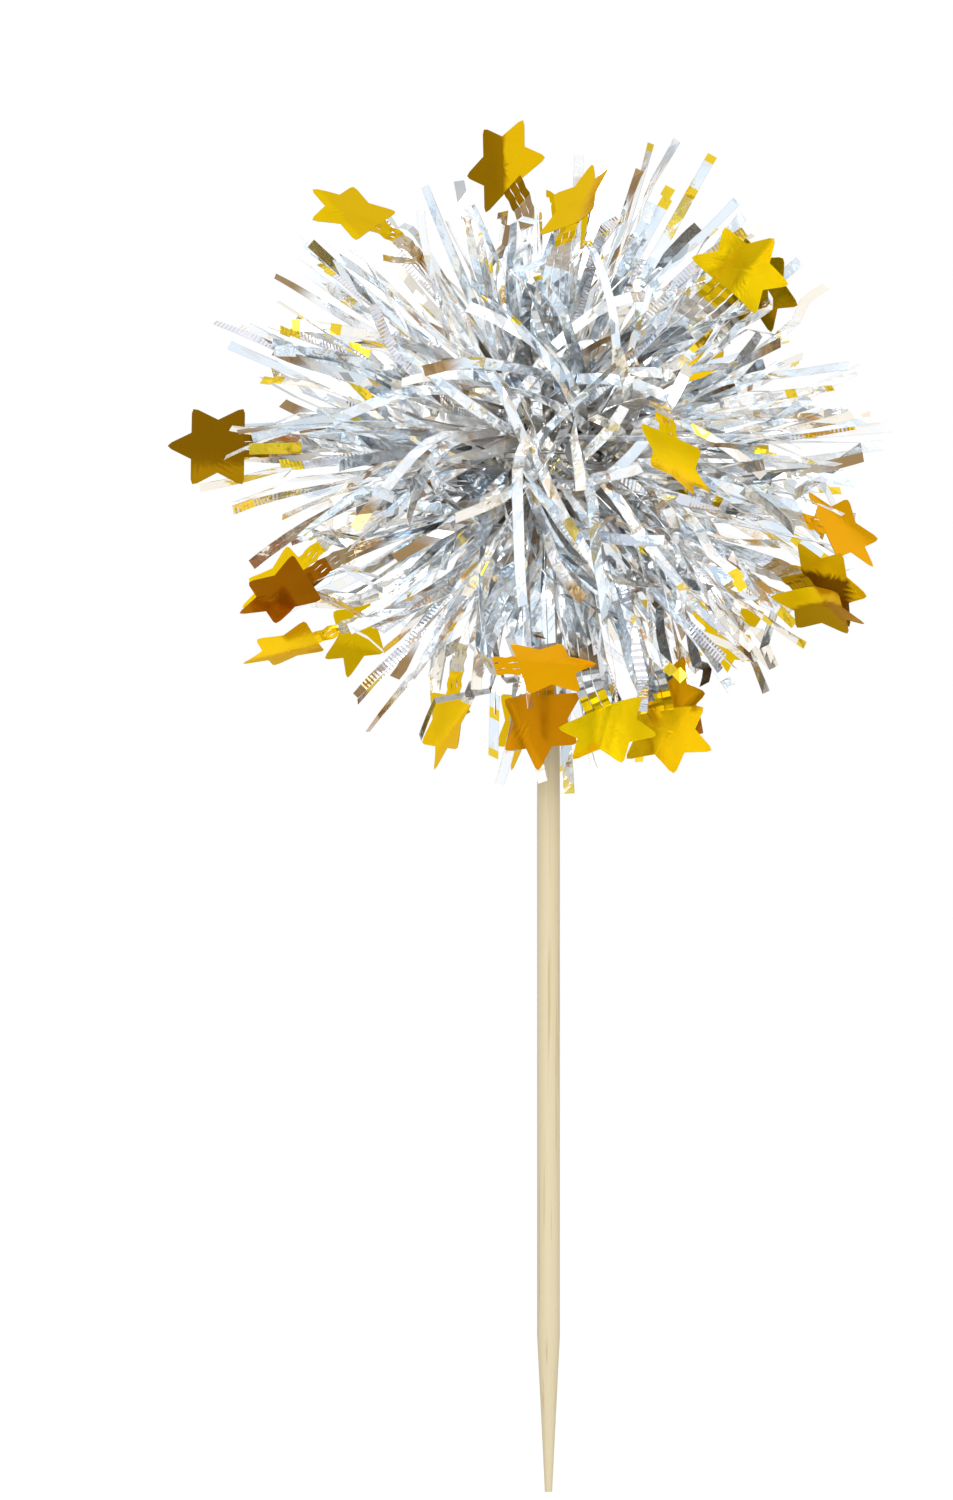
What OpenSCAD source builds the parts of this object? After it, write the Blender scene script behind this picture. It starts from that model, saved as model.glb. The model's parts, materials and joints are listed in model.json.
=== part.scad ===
// Tinsel cupcake topper: a ball of slit metallised film with die-cut stars, bound on a bamboo skewer.
// Millimetres. +Z runs up the skewer, the origin is where the skewer enters the cake, and -Y faces the viewer.

/* [Skewer] */
// Length of the skewer from its point to its head
skewer_length = 120; // [100:1:150]
// Diameter of the shank, which goes into the cake
skewer_d = 2.5; // [2:0.1:4]
// Diameter at the head, eased a little so that the film slides on
head_d = 2.4; // [1.8:0.1:3.8]
// Length of the cone that is ground on the point
point_length = 17; // [8:0.5:30]
// Diameter of the blunt end of the point
tip_d = 0.8; // [0.4:0.1:1.5]
// Depth of the skewer in the cake, from its point to the icing
insert_depth = 45; // [25:1:60]

/* [Film ball] */
// Mean distance from the ball's centre to the ends of the strips
strip_reach = 35; // [26:0.5:45]
// How far single strips run past or short of the mean reach
reach_spread = 3; // [0:0.5:5]
// Width of a strip cut in the film
strip_w = 1; // [0.6:0.1:1.4]
// Width of a strip where the binding gathers it
gathered_w = 0.36; // [0.2:0.02:0.5]
// Thickness of the film
film_t = 0.1; // [0.08:0.01:0.2]
// Strips on each side of the binding, before those in a star's way are left out
strips_per_side = 178; // [100:1:190]
// Distance between the skewer's head and the ball's centre
head_above_centre = 7; // [5:0.5:10]

/* [Binding] */
// Plies of film that are wound round the skewer's head
plies = 8; // [6:1:10]
// Thickness of one wound ply
ply_wall = 0.45; // [0.4:0.05:0.6]
// Half height of the band that the binding wire needs
band_half = 1; // [0.8:0.1:2]
// Height that the innermost ply stands above that band
cup_rise = 5; // [4:0.5:7]
// Thickness of the glue between the skewer and the innermost ply
glue_t = 0.2; // [0.1:0.05:0.4]
// Diameter of the binding wire
wire_d = 0.4; // [0.3:0.05:0.5]
// Turns of the binding wire
wire_turns = 2; // [1:1:3]
// Distance from one turn of the wire to the next
wire_pitch = 0.9; // [0.85:0.05:1.2]

/* [Stars] */
// Radius of a star from its centre to its points
star_r = 5.8; // [4:0.1:7]
// Length of the printed neck between the star and its fold
neck_length = 2.4; // [1.5:0.1:5]
// Width of each of the three strips that carry a star
neck_strip_w = 0.9; // [0.6:0.05:1]
// Slit between those strips
neck_slit = 0.1; // [0.06:0.02:0.2]
// Gap at the fold line, about which the star flexes
fold_gap = 0.08; // [0.06:0.01:0.15]
// Angle that a star flexes to either side
flex_angle = 12; // [5:1:15]

/* [Hidden] */
// Each star: its centre from the ball's centre [x, y, z], its heading seen from the front (0 right, 90 up),
// its lean towards the viewer, its roll about its own axis from facing the viewer, and the turn of its strips'
// roots round the binding, which keeps them clear of a neighbour's.
STARS = [
    [-5, 5, 32, 116, -32, -35, 0],
    [-21, -8, 26, 149, -13, 58, 0],
    [3, -14, 26.5, 70, -30, -55, 0],
    [20.5, -15, 19.5, 42, 30, 27, 0],
    [23, -5, 18.5, 45, 45, -17, 0],
    [-36, -2, 1, 180, 0, 30, 0],
    [-28.5, -11, -15, 212, 0, -55, 0],
    [-29, 3, -13.5, 222, 0, 57, 0],
    [-28, -5, -21, 201, 6, 62, 0],
    [-0.5, -24, -23, 2, 13, 51, 0],
    [-1, -9, -29, 266, 14, 30, -10],
    [6, -20, -29.5, 294, 48, 0, 8],
    [12.5, -10, -30, 282, 40, 0, 0],
    [13, 1, -27, 300, 30, 30, 0],
    [13, -30, -1.5, 281, 30, -52, 0],
    [32, 3, -8, 345, -40, -50, 0],
    [30, -6, -14, 345, 30, 45, 4],
    [29, -15, -16.5, 312, 40, -40, -4],
    [-11, 2, -29, 260, 0, 60, 0],
    [-3, 9, -29, 265, 0, 60, 5],
    [-18, 26, 12, 146, -50, 20, 0],
    [17, 27, 11, 33, -53, -30, 0],
    [1, 31, -13, 274, -66, 15, 0],
    [-21, 19, -19, 222, -34, 40, 0],
    [20, 20, -19, 316, -36, -25, 0],
    [3, 22, 26, 83, -40, 30, 0],
];

tip_z = -insert_depth;
head_z = tip_z + skewer_length;
centre = [0, 0, head_z - head_above_centre];
// The shank is a true cylinder up to here, below the ends of the film
shank_top = centre.z - strip_reach - reach_spread - 1;
head_chamfer = 0.2;

core_r = skewer_d / 2 + glue_t;
// Depth to which a strip's root is let into its ply
root_depth = 0.4;
// Greatest angle from the axis at which strips leave the binding, just past level so that the ball closes
fan_angle = 96;
fan_step = fan_angle / plies;
// Distance from the root at which a strip has its full width
open_length = 10;
// Strips shorter than this are left out
shortest_strip = 8;
// Distance between the points of a strip that are tested for clearance
test_step = 1.5;
// Clearance between a strip and anything that moves or crosses its way
strip_clear = 0.5;
// Stars and carried strips are tested within this cosine of a strip's own direction
near_cos = 0.75;
// Greatest sideways drift of a strip's end, as a share of its length
drift = 0.07;
// Greatest twist of a strip from its root to its end
twist = 45;
// Unevenness of the strips round the axis and the offset of the two sides, as shares of one step
step_jitter = 0.18;
side_offset = 0.25;
// Turn from the first strip of one ply to the first of the next
ply_turn = 137;
// Share of each ply's part of the fan that its strips fill
fan_fill = 0.84;
golden = 0.618034;
seed = 7;

star_inner_r = star_r / sqrt(3);
star_base = star_r / 2;
star_half_w = star_r * sin(60);
neck_pitch = neck_strip_w + neck_slit;
fold_to_centre = star_base + neck_length;
fold_to_point = fold_to_centre + star_r;
neck_half_w = neck_pitch + neck_strip_w / 2;
// Overlap of the neck's strips with the star
neck_lap = 0.1;
// Stations along a star's three strips, as shares of their length; they have their full width from the second on
STEM_AT = [0, 0.4, 0.75, 1];
// Distance before the fold over which those strips turn into line with the star
stem_lead = 5;

// Room under the wire, more than the dip of its straight pieces between two rings
wire_seat = 0.06;
wire_r = core_r + plies * ply_wall + wire_seat + wire_d / 2;
wire_rings = 24;
wire_sides = 6;

PLY_NODES = [for (k = [1 : plies]) str("film_ply_", k)];
STAR_NODES = [for (i = [1 : len(STARS)]) str("star_", i < 10 ? "0" : "", i)];

function unit(v) = v / norm(v);
function mix(a, b, t) = a + (b - a) * t;
function frac(x) = x - floor(x);
function square_to(v, axis) = unit(v - (v * axis) * axis);

// Wound plies: mid radius, and half height on a quarter ellipse so that inner plies stand proud of outer ones
function ply_mid(k) = core_r + (k - 0.5) * ply_wall;
function ply_half(k) = band_half + cup_rise * sqrt(1 - pow((k - 0.5) / plies, 2));
function fan_dir(theta, phi, side) = [sin(theta) * cos(phi), sin(theta) * sin(phi), side * cos(theta)];
function ring_tangent(phi) = [-sin(phi), cos(phi), 0];
function root_point(k, phi, side) =
    centre + [ply_mid(k) * cos(phi), ply_mid(k) * sin(phi), side * (ply_half(k) - root_depth)];

// A star's own frame: along its axis, across the fold, and out of its face
function star_axis(s) = [cos(s[3]) * cos(s[4]), -sin(s[4]), sin(s[3]) * cos(s[4])];
function star_normal(s) =
    let (a = star_axis(s), face = square_to([0, -1, 0], a))
    face * cos(s[5]) + cross(a, face) * sin(s[5]);
function star_across(s) = cross(star_normal(s), star_axis(s));
function star_fold(s) = centre + [s[0], s[1], s[2]] - star_axis(s) * fold_to_centre;

// Where a star's strips leave the binding: side, angle from the axis, azimuth and ply
function stem_side(s) = star_fold(s).z >= centre.z ? 1 : -1;
function stem_theta(s) =
    let (v = star_fold(s) - centre - [0, 0, stem_side(s) * band_half])
    acos(stem_side(s) * v.z / norm(v));
function stem_phi(s) = let (v = star_fold(s)) atan2(v.y, v.x) + s[6];
function stem_ply(s) = min(plies, floor(stem_theta(s) / fan_step) + 1);

// Path of the middle strip of a star, a Bezier curve from the binding to the fold
function bezier(p, t) =
    p[0] * pow(1 - t, 3) + p[1] * 3 * t * pow(1 - t, 2) + p[2] * 3 * t * t * (1 - t) + p[3] * pow(t, 3);
function bezier_dir(p, t) =
    unit((p[1] - p[0]) * pow(1 - t, 2) + (p[2] - p[1]) * 2 * t * (1 - t) + (p[3] - p[2]) * t * t);
function stem_curve(s) =
    let (
        fold = star_fold(s) - star_axis(s) * fold_gap / 2,
        root = root_point(stem_ply(s), stem_phi(s), stem_side(s)),
        out = fan_dir(stem_theta(s), stem_phi(s), stem_side(s)),
        lead = norm(fold - root) / 2
    )
    [root, root + out * lead, fold - star_axis(s) * stem_lead, fold];
function stem_across(s, t) =
    let (
        along = bezier_dir(stem_curve(s), t),
        tangent = ring_tangent(stem_phi(s)),
        fold = star_across(s),
        root = tangent * fold < 0 ? -tangent : tangent
    )
    square_to(mix(root, fold, t), along);
function stem_width(t) = mix(gathered_w, neck_strip_w, min(1, t / STEM_AT[1]));
function stem_pitch(t) = mix(gathered_w + neck_slit, neck_pitch, min(1, t / STEM_AT[1]));
function stem_half_w(t) = stem_pitch(t) + stem_width(t) / 2;

// One station of a strip: centre, direction along it, direction across it, width
function stem_station(s, lane, t) =
    let (curve = stem_curve(s), across = stem_across(s, t))
    [bezier(curve, t) + across * lane * stem_pitch(t), bezier_dir(curve, t), across, stem_width(t)];

// Clearance from the stars: the sector that a star sweeps as it flexes, and the strips that carry it
function in_sweep(p, s) =
    let (
        d = p - star_fold(s),
        along = d * star_axis(s),
        half_w = along < neck_length - strip_w ? neck_half_w : star_half_w,
        room = strip_w / 2 + strip_clear
    )
    along > -room && along < fold_to_point + room
        && abs(d * star_across(s)) < half_w + room
        && abs(d * star_normal(s)) < max(0, along) * tan(flex_angle) + room;
function near_stem(p, stem, half_w, half_n) =
    len([for (i = [0 : len(stem) - 2])
        let (
            a = stem[i],
            b = stem[i + 1],
            ab = b[0] - a[0],
            u = max(0, min(1, (p - a[0]) * ab / (ab * ab))),
            across = square_to(mix(a[2], b[2], u), unit(ab)),
            d = p - mix(a[0], b[0], u),
            spread = mix(stem_half_w(STEM_AT[i]), stem_half_w(STEM_AT[i + 1]), u),
            off = d * across
        )
        if (abs(off) < spread + half_w && norm(d - off * across) < half_n) i]) > 0;
function strip_width(d) = mix(gathered_w, strip_w, min(1, d / open_length));

// One strip of the fan as a bent line: root, direction there, direction past the bend, across, reach and twist
function strip_line(k, side, i, count) =
    let (
        r = rands(-1, 1, 5, seed + 1000 * k + 500 * side + i),
        phi = 360 * (i + side_offset * side + step_jitter * r[0]) / count + ply_turn * k,
        theta = fan_step * (k - 0.5 + fan_fill * (frac((i + side_offset * side) * golden) - 0.5)),
        out = fan_dir(theta, phi, side),
        tangent = ring_tangent(phi),
        bent = unit(out + drift * (r[1] * tangent + r[2] * cross(out, tangent)))
    )
    [root_point(k, phi, side), out, bent, tangent, strip_reach + reach_spread * r[3], twist * r[4]];
function strip_at(line, d) =
    line[0] + line[1] * min(d, open_length) + line[2] * max(0, d - open_length);
function strip_room(line, stars, stems, d) =
    let (
        p = strip_at(line, d),
        half_w = strip_width(d) / 2 + strip_clear / 2,
        half_n = strip_clear / 2 + strip_width(d) / 2 * min(1, d / open_length)
    )
    norm(p - centre) < line[4]
        && len([for (s = stars) if (in_sweep(p, s)) 1]) == 0
        && len([for (stem = stems) if (near_stem(p, stem, half_w, half_n)) 1]) == 0;
function strip_length(line, stars, stems, d = 1) =
    strip_room(line, stars, stems, d) ? strip_length(line, stars, stems, d + test_step) : d - test_step;
function turned(v, axis, angle) = v * cos(angle) + cross(axis, v) * sin(angle);

function ply_count(k) =
    let (total = [for (j = [1 : plies]) sin(fan_step * (j - 0.5))])
    round(strips_per_side * total[k - 1] / (total * [for (t = total) 1]));

// Closed solid of flat film through a row of stations. Front and back are split along the same diagonal, so that
// the film keeps its thickness where it twists.
module film_strip(stations) {
    rings = [for (s = stations)
        let (half = s[2] * s[3] / 2, up = unit(cross(s[1], s[2])) * film_t / 2)
        [s[0] + half + up, s[0] - half + up, s[0] - half - up, s[0] + half - up]];
    last = 4 * (len(rings) - 1);
    sides = [for (i = [0 : len(rings) - 2], j = [0 : 3])
        let (a = 4 * i + j, b = 4 * i + (j + 1) % 4)
        each j < 2 ? [[a, a + 4, b + 4], [a, b + 4, b]] : [[a, a + 4, b], [b, a + 4, b + 4]]];
    caps = [[0, 1, 2], [0, 2, 3], [last + 3, last + 2, last + 1], [last + 3, last + 1, last]];
    polyhedron([for (ring = rings) each ring], concat(sides, caps));
}

module fan_strip(line, length) {
    middle = min(open_length, length / 2);
    across = line[3];
    film_strip([
        [line[0], line[1], across, gathered_w],
        [strip_at(line, middle), line[1], turned(across, line[1], line[5] / 2), strip_width(middle)],
        [strip_at(line, length), line[2], square_to(turned(across, line[1], line[5]), line[2]), strip_w],
    ]);
}

// The three strips that carry one star, side by side up to its fold
module star_stems(s) {
    for (lane = [-1 : 1])
        film_strip([for (t = STEM_AT) stem_station(s, lane, t)]);
}

// One ply: its wound band, the strips slit in both edges and the strips that carry stars
module film_ply(k) {
    carried = [for (s = STARS) if (stem_ply(s) == k) s];
    count = ply_count(k);
    color("gainsboro") {
        translate(centre)
            rotate_extrude($fn = 96)
                translate([ply_mid(k) - ply_wall / 2, -ply_half(k)])
                    square([ply_wall, 2 * ply_half(k)]);
        for (side = [-1, 1], i = [0 : count - 1]) {
            line = strip_line(k, side, i, count);
            stars = [for (s = STARS) if (unit(star_fold(s) - centre) * line[1] > near_cos) s];
            stems = [for (s = stars) [for (t = STEM_AT) stem_station(s, 0, t)]];
            length = strip_length(line, stars, stems);
            if (length >= shortest_strip)
                fan_strip(line, length);
        }
        for (s = carried)
            star_stems(s);
    }
}

// Six-pointed star whose sixth point is the neck, with the fold at the origin
module star_outline() {
    translate([fold_to_centre, 0])
        polygon([for (i = [-5 : 5])
            let (r = i % 2 == 0 ? star_r : star_inner_r)
            [r * cos(30 * i), r * sin(30 * i)]]);
    for (lane = [-1 : 1])
        translate([fold_gap / 2, lane * neck_pitch - neck_strip_w / 2])
            square([neck_length + neck_lap, neck_strip_w]);
}

module star(s) {
    a = star_axis(s);
    w = star_across(s);
    n = star_normal(s);
    f = star_fold(s);
    color("goldenrod")
        multmatrix([[a.x, w.x, n.x, f.x], [a.y, w.y, n.y, f.y], [a.z, w.z, n.z, f.z], [0, 0, 0, 1]])
            linear_extrude(film_t, center = true)
                star_outline();
}

module skewer() {
    color("wheat")
        rotate_extrude($fn = 96)
            polygon([
                [0, tip_z],
                [tip_d / 2, tip_z],
                [skewer_d / 2, tip_z + point_length],
                [skewer_d / 2, shank_top],
                [head_d / 2, head_z - head_chamfer],
                [head_d / 2 - head_chamfer, head_z],
                [0, head_z],
            ]);
}

// Radius of the eased head at a height, which the glue follows
function head_r(z) =
    mix(skewer_d, head_d, (z - shank_top) / (head_z - head_chamfer - shank_top)) / 2;

module glue_sleeve() {
    low = centre.z - ply_half(1);
    high = centre.z + ply_half(1);
    color("ivory")
        rotate_extrude($fn = 96)
            polygon([[head_r(low), low], [core_r, low], [core_r, high], [head_r(high), high]]);
}

// Binding wire: a helix round the outer ply whose ends run on straight for one wire diameter
function helix_point(u) =
    centre + [wire_r * cos(360 * u), wire_r * sin(360 * u), wire_pitch * (u - wire_turns / 2)];
function helix_dir(u) =
    unit([-sin(360 * u) * 2 * PI * wire_r, cos(360 * u) * 2 * PI * wire_r, wire_pitch]);
wire_line = concat(
    [[helix_point(0) - helix_dir(0) * wire_d, 0]],
    [for (i = [0 : wire_rings * wire_turns]) [helix_point(i / wire_rings), i / wire_rings]],
    [[helix_point(wire_turns) + helix_dir(wire_turns) * wire_d, wire_turns]]
);
wire_gap = min([for (i = [0 : len(wire_line) - 1], j = [i + wire_rings / 2 : len(wire_line) - 1])
    norm(wire_line[i][0] - wire_line[j][0])]) - wire_d;

module binding_wire() {
    echo(least_gap_between_wire_turns = wire_gap);
    rings = [for (p = wire_line)
        let (
            along = helix_dir(p[1]),
            out = [cos(360 * p[1]), sin(360 * p[1]), 0],
            up = cross(along, out)
        )
        [for (j = [0 : wire_sides - 1])
            p[0] + wire_d / 2 * (out * cos(360 * j / wire_sides) + up * sin(360 * j / wire_sides))]];
    last = wire_sides * (len(rings) - 1);
    sides = [for (i = [0 : len(rings) - 2], j = [0 : wire_sides - 1])
        let (a = wire_sides * i + j, b = wire_sides * i + (j + 1) % wire_sides)
        each [[a, a + wire_sides, b + wire_sides], [a, b + wire_sides, b]]];
    caps = [for (j = [1 : wire_sides - 2]) each [[0, j, j + 1], [last, last + j + 1, last + j]]];
    color("silver")
        polyhedron([for (ring = rings) each ring], concat(sides, caps));
}

skewer();
glue_sleeve();
binding_wire();
for (k = [1 : plies])
    film_ply(k);
for (i = [0 : len(STARS) - 1])
    star(STARS[i]);
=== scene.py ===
# %% [markdown]
# # Tinsel cupcake topper
#
# A party pick: a ball of silver film, slit into fine strips, with gold stars cut in the edge of the film,
# bound on the head of a bamboo skewer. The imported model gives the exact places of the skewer, the stars and
# their fold lines. This lesson dresses it: fuller film made with Geometry Nodes, bent foil stars, and
# finishes built from shader nodes.

import json
import math
from dataclasses import dataclass

import bmesh
import bpy
import numpy as np
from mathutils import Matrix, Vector


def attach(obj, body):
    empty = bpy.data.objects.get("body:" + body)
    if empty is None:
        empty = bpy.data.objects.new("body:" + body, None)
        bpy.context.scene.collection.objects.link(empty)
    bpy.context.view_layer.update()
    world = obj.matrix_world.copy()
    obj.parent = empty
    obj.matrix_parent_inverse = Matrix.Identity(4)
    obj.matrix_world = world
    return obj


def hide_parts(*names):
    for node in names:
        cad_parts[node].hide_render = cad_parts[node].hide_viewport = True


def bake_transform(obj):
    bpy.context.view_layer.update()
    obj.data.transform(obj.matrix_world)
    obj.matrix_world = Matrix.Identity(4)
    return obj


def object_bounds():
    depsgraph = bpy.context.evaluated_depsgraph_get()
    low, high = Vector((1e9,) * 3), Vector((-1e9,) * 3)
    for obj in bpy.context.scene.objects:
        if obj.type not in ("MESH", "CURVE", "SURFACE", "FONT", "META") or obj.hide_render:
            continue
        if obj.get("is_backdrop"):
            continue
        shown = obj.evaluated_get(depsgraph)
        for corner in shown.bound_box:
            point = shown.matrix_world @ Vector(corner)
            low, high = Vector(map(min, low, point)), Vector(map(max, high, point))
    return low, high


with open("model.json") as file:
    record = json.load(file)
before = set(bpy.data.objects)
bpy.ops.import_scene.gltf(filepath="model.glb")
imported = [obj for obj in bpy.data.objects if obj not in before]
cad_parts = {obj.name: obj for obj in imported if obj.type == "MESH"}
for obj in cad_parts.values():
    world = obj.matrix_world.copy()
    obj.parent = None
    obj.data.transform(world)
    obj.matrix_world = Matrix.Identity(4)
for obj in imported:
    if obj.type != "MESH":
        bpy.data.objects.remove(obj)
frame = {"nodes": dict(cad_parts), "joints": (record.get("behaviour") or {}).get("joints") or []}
cad_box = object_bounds()
MM = 0.001


# %% [markdown]
# ## Expressions on sockets
#
# Node trees are easier to read as formulas. A `Wire` is one output of a node, and Python's operators on it
# add Math or Vector Math nodes. `Graph.node` makes every other node: its type, its settings, and its inputs
# by name or place.

# %% Wires and graphs
class Wire:
    """One output of a node, which can be used in Python expressions."""

    def __init__(self, graph, socket):
        self.graph = graph
        self.socket = socket

    def other(self, name):
        """Another output of the same node."""
        return Wire(self.graph, pick(self.socket.node.outputs, name))

    def join(self, operation, left, right):
        """A Math node on two values, or a Vector Math node where one of them is a vector."""
        is_vector = [holds_vector(value) for value in (left, right)]
        if operation == "MULTIPLY" and is_vector[0] != is_vector[1]:
            vector, number = (left, right) if is_vector[0] else (right, left)
            inputs = {"Vector": vector, "Scale": number}
            return self.graph.node("ShaderNodeVectorMath", {"operation": "SCALE"}, inputs)
        kind = "ShaderNodeVectorMath" if any(is_vector) else "ShaderNodeMath"
        return self.graph.node(kind, {"operation": operation}, [left, right])

    def __add__(self, right):
        return self.join("ADD", self, right)

    def __radd__(self, left):
        return self.join("ADD", left, self)

    def __sub__(self, right):
        return self.join("SUBTRACT", self, right)

    def __rsub__(self, left):
        return self.join("SUBTRACT", left, self)

    def __mul__(self, right):
        return self.join("MULTIPLY", self, right)

    def __rmul__(self, left):
        return self.join("MULTIPLY", left, self)

    def __truediv__(self, right):
        return self.join("DIVIDE", self, right)

    def __rtruediv__(self, left):
        return self.join("DIVIDE", left, self)

    def __lt__(self, right):
        return self.join("LESS_THAN", self, right)

    def __gt__(self, right):
        return self.join("GREATER_THAN", self, right)

    def __mod__(self, right):
        return self.join("FLOORED_MODULO", self, right)


def holds_vector(value):
    return isinstance(value, tuple) or isinstance(value, Wire) and value.socket.type == "VECTOR"


def pick(sockets, key):
    """A node's socket by place, or the one in use of those with that name."""
    if isinstance(key, int):
        return sockets[key]
    return next(s for s in sockets if s.name == key and s.enabled)


class Graph:
    """A node tree that is written as expressions."""

    def __init__(self, tree):
        self.tree = tree
        tree.nodes.clear()

    def node(self, kind, settings=None, inputs=(), output=0):
        """Adds a node and returns one of its outputs, or the node itself if it has none."""
        made = self.tree.nodes.new(kind)
        for name, value in (settings or {}).items():
            if name == "steps":
                self.set_steps(made.color_ramp, value)
            else:
                setattr(made, name, value)
        for key, value in inputs.items() if isinstance(inputs, dict) else enumerate(inputs):
            socket = pick(made.inputs, key)
            if isinstance(value, Wire):
                self.tree.links.new(value.socket, socket)
            else:
                socket.default_value = value
        return Wire(self, pick(made.outputs, output)) if made.outputs else made

    def set_steps(self, ramp, steps):
        """Colours of a ramp that changes in steps, each from its place on."""
        ramp.interpolation = "CONSTANT"
        while len(ramp.elements) < len(steps):
            ramp.elements.new(1)
        for element, (place, color) in zip(ramp.elements, steps):
            element.position = place
            element.color = color

    def maths(self, operation, *values):
        return self.node("ShaderNodeMath", {"operation": operation}, values)

    def vector(self, operation, *values):
        return self.node("ShaderNodeVectorMath", {"operation": operation}, values)

    def xyz(self, x, y, z):
        return self.node("ShaderNodeCombineXYZ", {}, [x, y, z])

    def mix(self, share, low, high):
        inputs = {"Factor": share, "A": low, "B": high}
        return self.node("ShaderNodeMix", {"data_type": "RGBA"}, inputs, "Result")

    def ease(self, value, low, high):
        """0 below low, 1 above high, and smooth between."""
        inputs = {"Value": value, "From Min": low, "From Max": high}
        return self.node("ShaderNodeMapRange", {"interpolation_type": "SMOOTHSTEP"}, inputs)

    def attribute(self, name):
        """A value that a mesh carries, for its material."""
        return self.node("ShaderNodeAttribute", {"attribute_name": name}, (), "Fac")

    def named(self, name, kind="FLOAT"):
        """A value that a geometry carries, for its tree."""
        settings = {"data_type": kind}
        return self.node("GeometryNodeInputNamedAttribute", settings, {"Name": name}, "Attribute")

    def object_place(self):
        return self.node("ShaderNodeTexCoord", {}, (), "Object")

    def bump(self, strength, distance, height):
        inputs = {"Strength": strength, "Distance": distance, "Height": height}
        return self.node("ShaderNodeBump", {}, inputs)


print("expressions ready")

# %% [markdown]
# ## Stage, light and camera
#
# The pick stands before plain white, so the world is white to the camera. Shiny film shows what is round
# it, and a room that is white all over would leave it flat: softboxes with darker gaps between them give it
# its glitter. The camera looks level, from far away with a long lens, and the picture's height covers a
# little more than the object.

# %% Camera
CAMERA_AT = Vector((-7.85, -900, 35.9)) * MM
FRAME_HEIGHT = 163.6 * MM
SENSOR = 36
CLIP_START = 10 * MM
camera_data = bpy.data.cameras.new("camera")
camera_data.sensor_width = SENSOR
camera_data.lens = SENSOR * abs(CAMERA_AT.y) / FRAME_HEIGHT
camera_data.clip_start = CLIP_START
camera = bpy.data.objects.new("camera", camera_data)
camera.location = CAMERA_AT
camera.rotation_euler = (math.radians(90), 0, 0)
bpy.context.scene.collection.objects.link(camera)
bpy.context.scene.camera = camera
bpy.context.scene.view_settings.view_transform = "Standard"
print("lens", round(camera_data.lens), "mm")

# %% World
SOFTBOXES = 5
QUARTER_TURN = math.radians(90)
PANEL_EDGE = (-0.8, 0.0)
GAP_LEVEL = 0.8
PANEL_GAIN = 0.5
CEILING_EDGE = (0.55, 0.8)
AMBIENT = 0.7
WHITE = (1, 1, 1, 1)
world = bpy.data.worlds.new("studio")
world.use_nodes = True
bpy.context.scene.world = world
sky = Graph(world.node_tree)
toward = sky.node("ShaderNodeSeparateXYZ", {}, [sky.node("ShaderNodeTexCoord", {}, (), "Generated")])
azimuth = sky.maths("ARCTAN2", toward, toward.other("Y"))
bands = sky.maths("SINE", azimuth * SOFTBOXES - QUARTER_TURN)
panels = sky.ease(bands, *PANEL_EDGE) * PANEL_GAIN + GAP_LEVEL
ceiling = sky.ease(toward.other("Z"), *CEILING_EDGE)
room = sky.maths("MAXIMUM", panels, ceiling)
ray = sky.node("ShaderNodeLightPath", {}, (), "Is Camera Ray")
seen = sky.maths("MAXIMUM", ray, ray.other("Is Transmission Ray"))
mirrored = ray.other("Is Glossy Ray")
level = sky.maths("MAXIMUM", seen, mirrored * room)
is_shown = sky.maths("MAXIMUM", seen, mirrored)
strength = level + (1 - is_shown) * AMBIENT
light = sky.node("ShaderNodeBackground", {}, {"Color": WHITE, "Strength": strength})
sky.node("ShaderNodeOutputWorld", {}, {"Surface": light})
print("world with", SOFTBOXES, "softboxes")

# %% Lamps and floor
BALL_CENTRE = Vector((0, 0, 68)) * MM
FLOOR_SIZE = 6
FLOOR_GAP = 0.2 * MM
PAPER = (0.9, 0.9, 0.9, 1)
PAPER_GLOW = 1.09
GLOW_SHARE = 0.85


def lamp(name, place, size, watts):
    """A square lamp that faces the ball."""
    data = bpy.data.lights.new(name, "AREA")
    data.size = size
    data.energy = watts
    made = bpy.data.objects.new(name, data)
    made.location = place
    made.rotation_euler = (BALL_CENTRE - Vector(place)).to_track_quat("-Z", "Y").to_euler()
    bpy.context.scene.collection.objects.link(made)


lamp("key", place=(-0.3, -0.6, 0.6), size=0.5, watts=1)
lamp("front", place=(0.1, -0.85, 0.15), size=0.5, watts=3.8)
bpy.ops.mesh.primitive_plane_add(size=FLOOR_SIZE, location=(0, 0, cad_box[0][2] - FLOOR_GAP))
floor = bpy.context.object
floor.name = "floor"
paper = bpy.data.materials.new("white_paper")
paper.use_nodes = True
sheet = Graph(paper.node_tree)
matte = sheet.node("ShaderNodeBsdfDiffuse", {}, {"Color": PAPER})
glow = sheet.node("ShaderNodeEmission", {}, {"Color": WHITE, "Strength": PAPER_GLOW})
ray = sheet.node("ShaderNodeLightPath", {}, (), "Is Camera Ray")
shown = sheet.maths("MAXIMUM", ray, ray.other("Is Transmission Ray"))
shown = sheet.maths("MAXIMUM", shown, ray.other("Is Glossy Ray"))
white = sheet.node("ShaderNodeMixShader", {}, [shown * GLOW_SHARE, matte, glow])
sheet.node("ShaderNodeOutputMaterial", {}, {"Surface": white})
floor.data.materials.append(paper)
floor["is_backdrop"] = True
print("floor", FLOOR_SIZE, "m square")

# %% [markdown]
# ## Bamboo
#
# The skewer is a split and turned length of bamboo: pale straw with fine fibres along it, some of them
# darker. Noise that is stretched along Z gives the fibres and the broader bands of two straw colours.

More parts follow.
